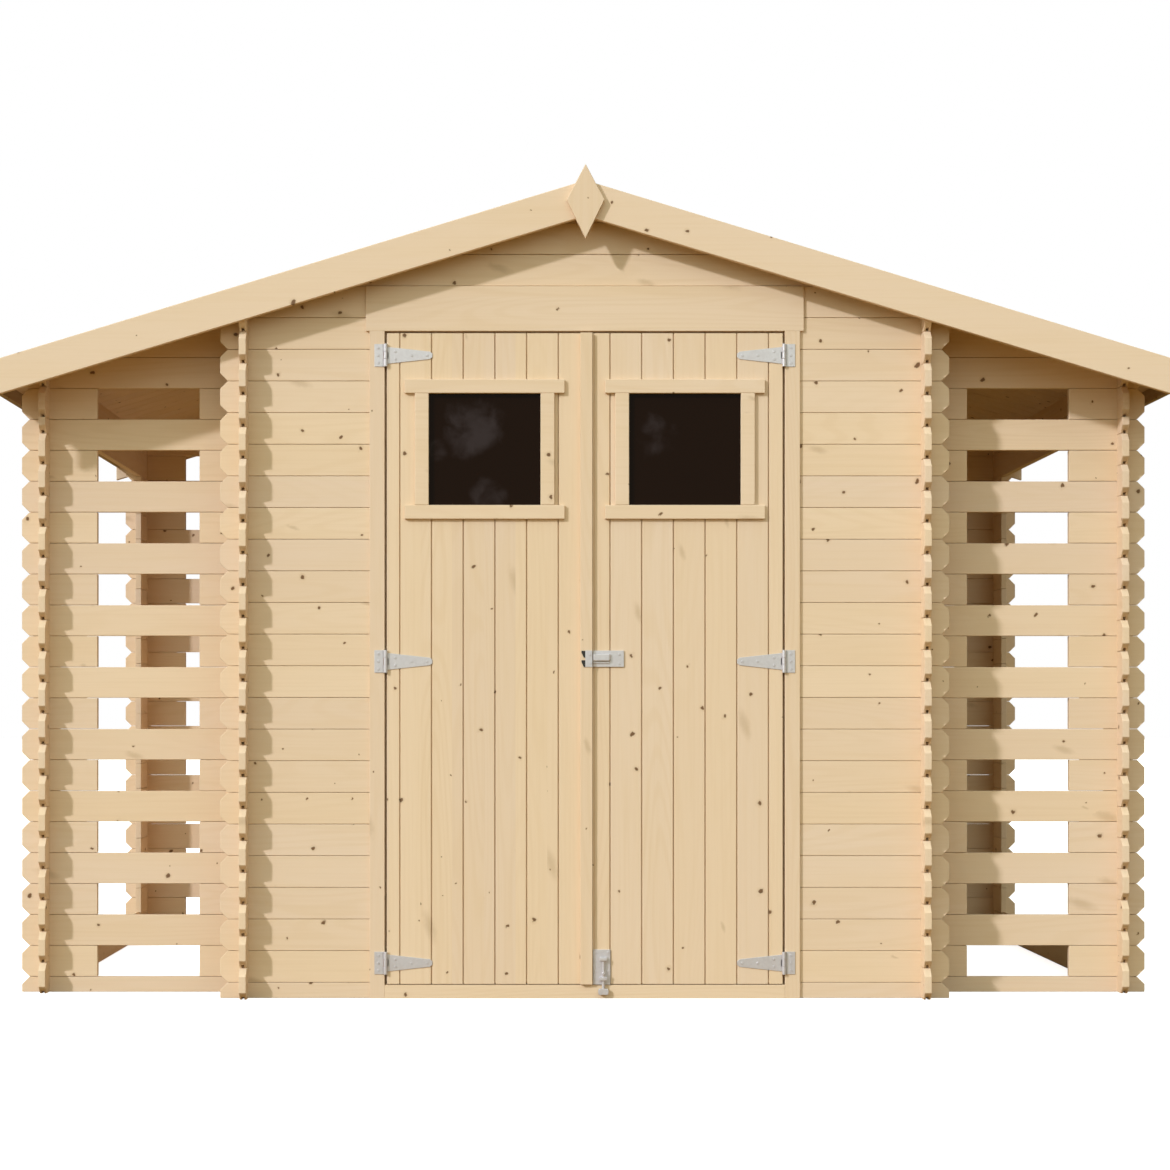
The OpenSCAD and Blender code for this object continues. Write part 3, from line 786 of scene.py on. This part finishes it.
def strap_hinges():
    """Three strap hinges on each door."""
    strap_low, strap_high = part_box("right_hinge_straps")
    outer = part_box("right_hinge_plates")[1][0]
    pin_x = strap_high[0] - KNUCKLE
    pin_y = LEAF_Y - KNUCKLE
    plates, straps = [], []
    for z in HINGE_Z:
        plates += hinge_plate(z, pin_x, pin_y, outer)
        straps += hinge_strap(z, pin_x, pin_y, strap_low[0])
    plates = join("right_hinge_plate_metal", plates)
    straps = join("right_hinge_strap_metal", straps)
    for piece, body, node in ((plates, "shed", "plates"), (straps, "right_door", "straps")):
        twin = mirrored(piece, piece.name.replace("right", "left"))
        place(piece, body, ZINC, "zinc", f"right_hinge_{node}")
        place(twin, body.replace("right", "left"), ZINC, "zinc", f"left_hinge_{node}")


def latch():
    """The latch on the right door: a plate, a raised case with a slanted end, and a lip under it."""
    low, high = latch_low, latch_high
    near = low[0] - MEETING
    face, back = LEAF_Y - METAL, LEAF_Y - SEAT
    middle = (low[2] + high[2]) / 2
    plate = ease(block("plate", (near, face, low[2]), high), width=0.0012)
    case_end, case_low, case_high = low[0] + 0.042, middle - 0.006, middle + 0.012
    case = block("case", (near, low[1], case_low), (case_end, back, case_high))
    saw(case, ((case_end, low[1] + 0.004, middle), (1, -1.1, 0)))
    ease(case, width=0.0020, segments=3)
    lip_end, lip_low, lip_high = low[0] + 0.039, middle - 0.013, middle - 0.008
    lip = block("lip", (near, LEAF_Y - 0.0065, lip_low), (lip_end, back, lip_high))
    inset = 0.010                           # from the plate's edges to its screws
    parts = [plate, case, ease(lip, width=0.0012)]
    parts += screws([(high[0] - 0.012, z) for z in (low[2] + inset, high[2] - inset)], face)
    place(join("latch_metal", parts), "right_door", ZINC, "zinc", "latch")


def latch_keeper():
    """The keeper on the left door: a plate with two screws, and two black hook-shaped marks beside it,
    painted shadow in its slots.
    """
    low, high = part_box("latch_keeper")
    middle = (latch_low[2] + latch_high[2]) / 2
    start = low[0] + 0.009                  # where the plate starts, right of the hooks
    keeper = ease(block("keeper", (start, low[1], low[2]), high), width=0.0006)
    parts = [keeper] + screws([(high[0] - 0.006, middle + up) for up in (0.012, -0.012)], low[1])
    place(join("latch_keeper_metal", parts), "left_door", ZINC, "zinc", "latch_keeper")
    # Black marks: painted shadow where the keeper's slots are.
    slot_shadows = []
    for top in (high[2] - 0.001, middle - 0.004):
        foot = top - 0.018
        slot_shadow = block("slot_shadow", (low[0] - 0.001, low[1] + 0.0004, foot), (start + 0.0005, high[1], top))
        saw(slot_shadow, ((low[0] + 0.0050, 0, foot), (-1, 0, -0.45)))
        slot_shadows.append(ease(slot_shadow, width=0.0003))
    place(join("keeper_slot_shadows", slot_shadows), "left_door", SLOT_SHADE, None)


def foot_bolt():
    """The foot bolt: a plate with two guides, and a rod with a knob and a flat foot."""
    low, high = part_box("foot_bolt_plate")
    rod_low, rod_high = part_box("foot_bolt")
    face = LEAF_Y - METAL
    x = (low[0] + high[0]) / 2
    y = face - ROD - 0.001                  # middle of the rod, which clears the plate by 1 mm
    base = high[2] - 0.086                  # the guides' and the knob's heights count from here
    plate = block("plate", (low[0] - MEETING, face, sill_top + 0.0008), (high[0] - 0.003, high[1], high[2]))
    parts = [ease(plate, width=0.0012)]
    tall, half, wall = 0.010, 0.010, 0.003  # a guide's height, half width and front wall
    for z in (base + 0.004, base + 0.056):
        guide = block("guide", (x - half, y - ROD - wall, z), (x + half, LEAF_Y - SEAT, z + tall))
        ease(guide, width=0.0018, segments=3)
        parts.append(carve(guide, rod("bore", (x, y, z - tall), 4 * tall, ROD + 0.0001)))
    corners = [(across, up) for across in (low[0] + 0.003, high[0] - 0.009)
               for up in (low[2] + 0.028, high[2] - 0.008)]
    parts += screws(corners, face)
    place(join("foot_bolt_plate_metal", parts), "right_door", ZINC, "zinc", "foot_bolt_plate")

    bar = ease(rod("bar", (x, y, rod_low[2]), rod_high[2] - rod_low[2], ROD), width=0.001)
    disc = 0.014                            # radius of the foot before its top and bottom are cut off
    flat_high = rod_low[2] + 0.0170
    flat = rod("flat", (x, y - ROD, rod_low[2] + 0.009), 2 * ROD, disc, axis=1, sides=40)
    saw(flat, ((x, y, rod_low[2]), (0, 0, -1)), ((x, y, flat_high), (0, 0, 1)))
    knob = rod("knob", (x, rod_low[1], base + 0.024), y - rod_low[1], ROD, axis=1)
    parts = [bar, ease(flat, width=0.0012), ease(knob, width=0.0012, segments=3)]
    place(join("foot_bolt_metal", parts), "foot_bolt", ZINC, "zinc", "foot_bolt")


# ---------- floor, light and camera ----------

def pale_floor():
    """A pale floor, bright where it is seen outside the walls, which throws a warm light up."""
    material, tree, shader = new_finish("pale_floor")
    seen = linked(tree, "ShaderNodeLightPath").outputs["Is Camera Ray"]
    warm, pale = (0.27, 0.14, 0.01), (0.90, 0.90, 0.90)
    tree.links.new(blend(tree, seen, warm, pale), shader.inputs["Base Color"])
    spot = linked(tree, "ShaderNodeSeparateXYZ", {0: linked(tree, "ShaderNodeTexCoord").outputs["Object"]})
    beside = sums(tree, "GREATER_THAN", sums(tree, "ABSOLUTE", spot.outputs[0]), side_low[0])
    before = sums(tree, "GREATER_THAN", sums(tree, "ABSOLUTE", spot.outputs[1]), -FRONT_Y - 0.02)
    seen = sums(tree, "MULTIPLY", seen, sums(tree, "MAXIMUM", beside, before))
    shader.inputs["Roughness"].default_value = 0.9
    shader.inputs["Emission Color"].default_value = (1, 1, 1, 1)
    tree.links.new(sums(tree, "MULTIPLY", seen, 0.86), shader.inputs["Emission Strength"])
    return material


def white_room():
    """White all round where it is seen, with a light that is stronger in front and above."""
    world = bpy.data.worlds.new("room")
    bpy.context.scene.world = world
    world.use_nodes = True
    tree = world.node_tree
    seen = linked(tree, "ShaderNodeLightPath").outputs["Is Camera Ray"]
    brightest = Vector((-0.25, -0.80, 0.55)).normalized()
    toward = linked(tree, "ShaderNodeVectorMath", {
        0: linked(tree, "ShaderNodeTexCoord").outputs["Generated"], 1: brightest},
        operation="DOT_PRODUCT").outputs["Value"]
    dim, full = 0.25, 1.19
    room = linked(tree, "ShaderNodeBackground", {
        "Color": (0.85, 0.945, 0.84, 1), "Strength": between(tree, toward, -0.3, 0.9, dim, full)})
    white = linked(tree, "ShaderNodeBackground", {"Color": (1, 1, 1, 1), "Strength": 1.0})
    mix = linked(tree, "ShaderNodeMixShader", {0: seen, 1: room.outputs[0], 2: white.outputs[0]})
    tree.links.new(mix.outputs[0], tree.nodes["World Output"].inputs["Surface"])


def stage():
    """A plain pale floor just under the shed, a low sun from the upper left and a white room around."""
    under = -0.0006
    bpy.ops.object.select_all(action="DESELECT")
    bpy.ops.mesh.primitive_plane_add(size=120, location=(0, 0, under))
    floor = bpy.context.object
    floor.name = "floor"
    floor.data.materials.append(pale_floor())

    bpy.ops.object.light_add(type="SUN", location=(-4, -4, 5))
    sun = bpy.context.object
    sun.name = "sun"
    sun.data.energy = 2.34
    sun.data.color = (0.862, 0.905, 1.0)
    sun.data.angle = math.radians(3.0)
    rays = Vector((1.15, 1.0, -0.80))
    sun.rotation_euler = rays.to_track_quat("-Z", "Y").to_euler()
    white_room()


def camera():
    """Stands low and a little left of the middle, and looks straight to the rear."""
    data = bpy.data.cameras.new("camera")
    data.lens = 69.57
    data.sensor_width = 36
    data.shift_x = 0.0547
    data.shift_y = 0.1103
    holder = bpy.data.objects.new("camera", data)
    bpy.context.collection.objects.link(holder)
    distance = 6.0                          # from the front wall
    holder.location = (-0.169, FRONT_Y - distance, 0.7537)
    holder.rotation_euler = (math.pi / 2, 0, 0)
    bpy.context.scene.camera = holder
    bpy.context.scene.view_settings.view_transform = "Standard"


camera()
stage()
shed_walls()
log_stores()
roof_boards()
ridge_and_eaves()
barge_boards()
pointed_boards()
door_frame()
door_stops()
for word, side, trim_finish in (("left", -1, TRIM), ("right", 1, BOARD_X)):
    door_boards(word, side)
    window(word, trim_finish)
    door_ledges(word)
meeting_strip()
strap_hinges()
latch()
latch_keeper()
foot_bolt()
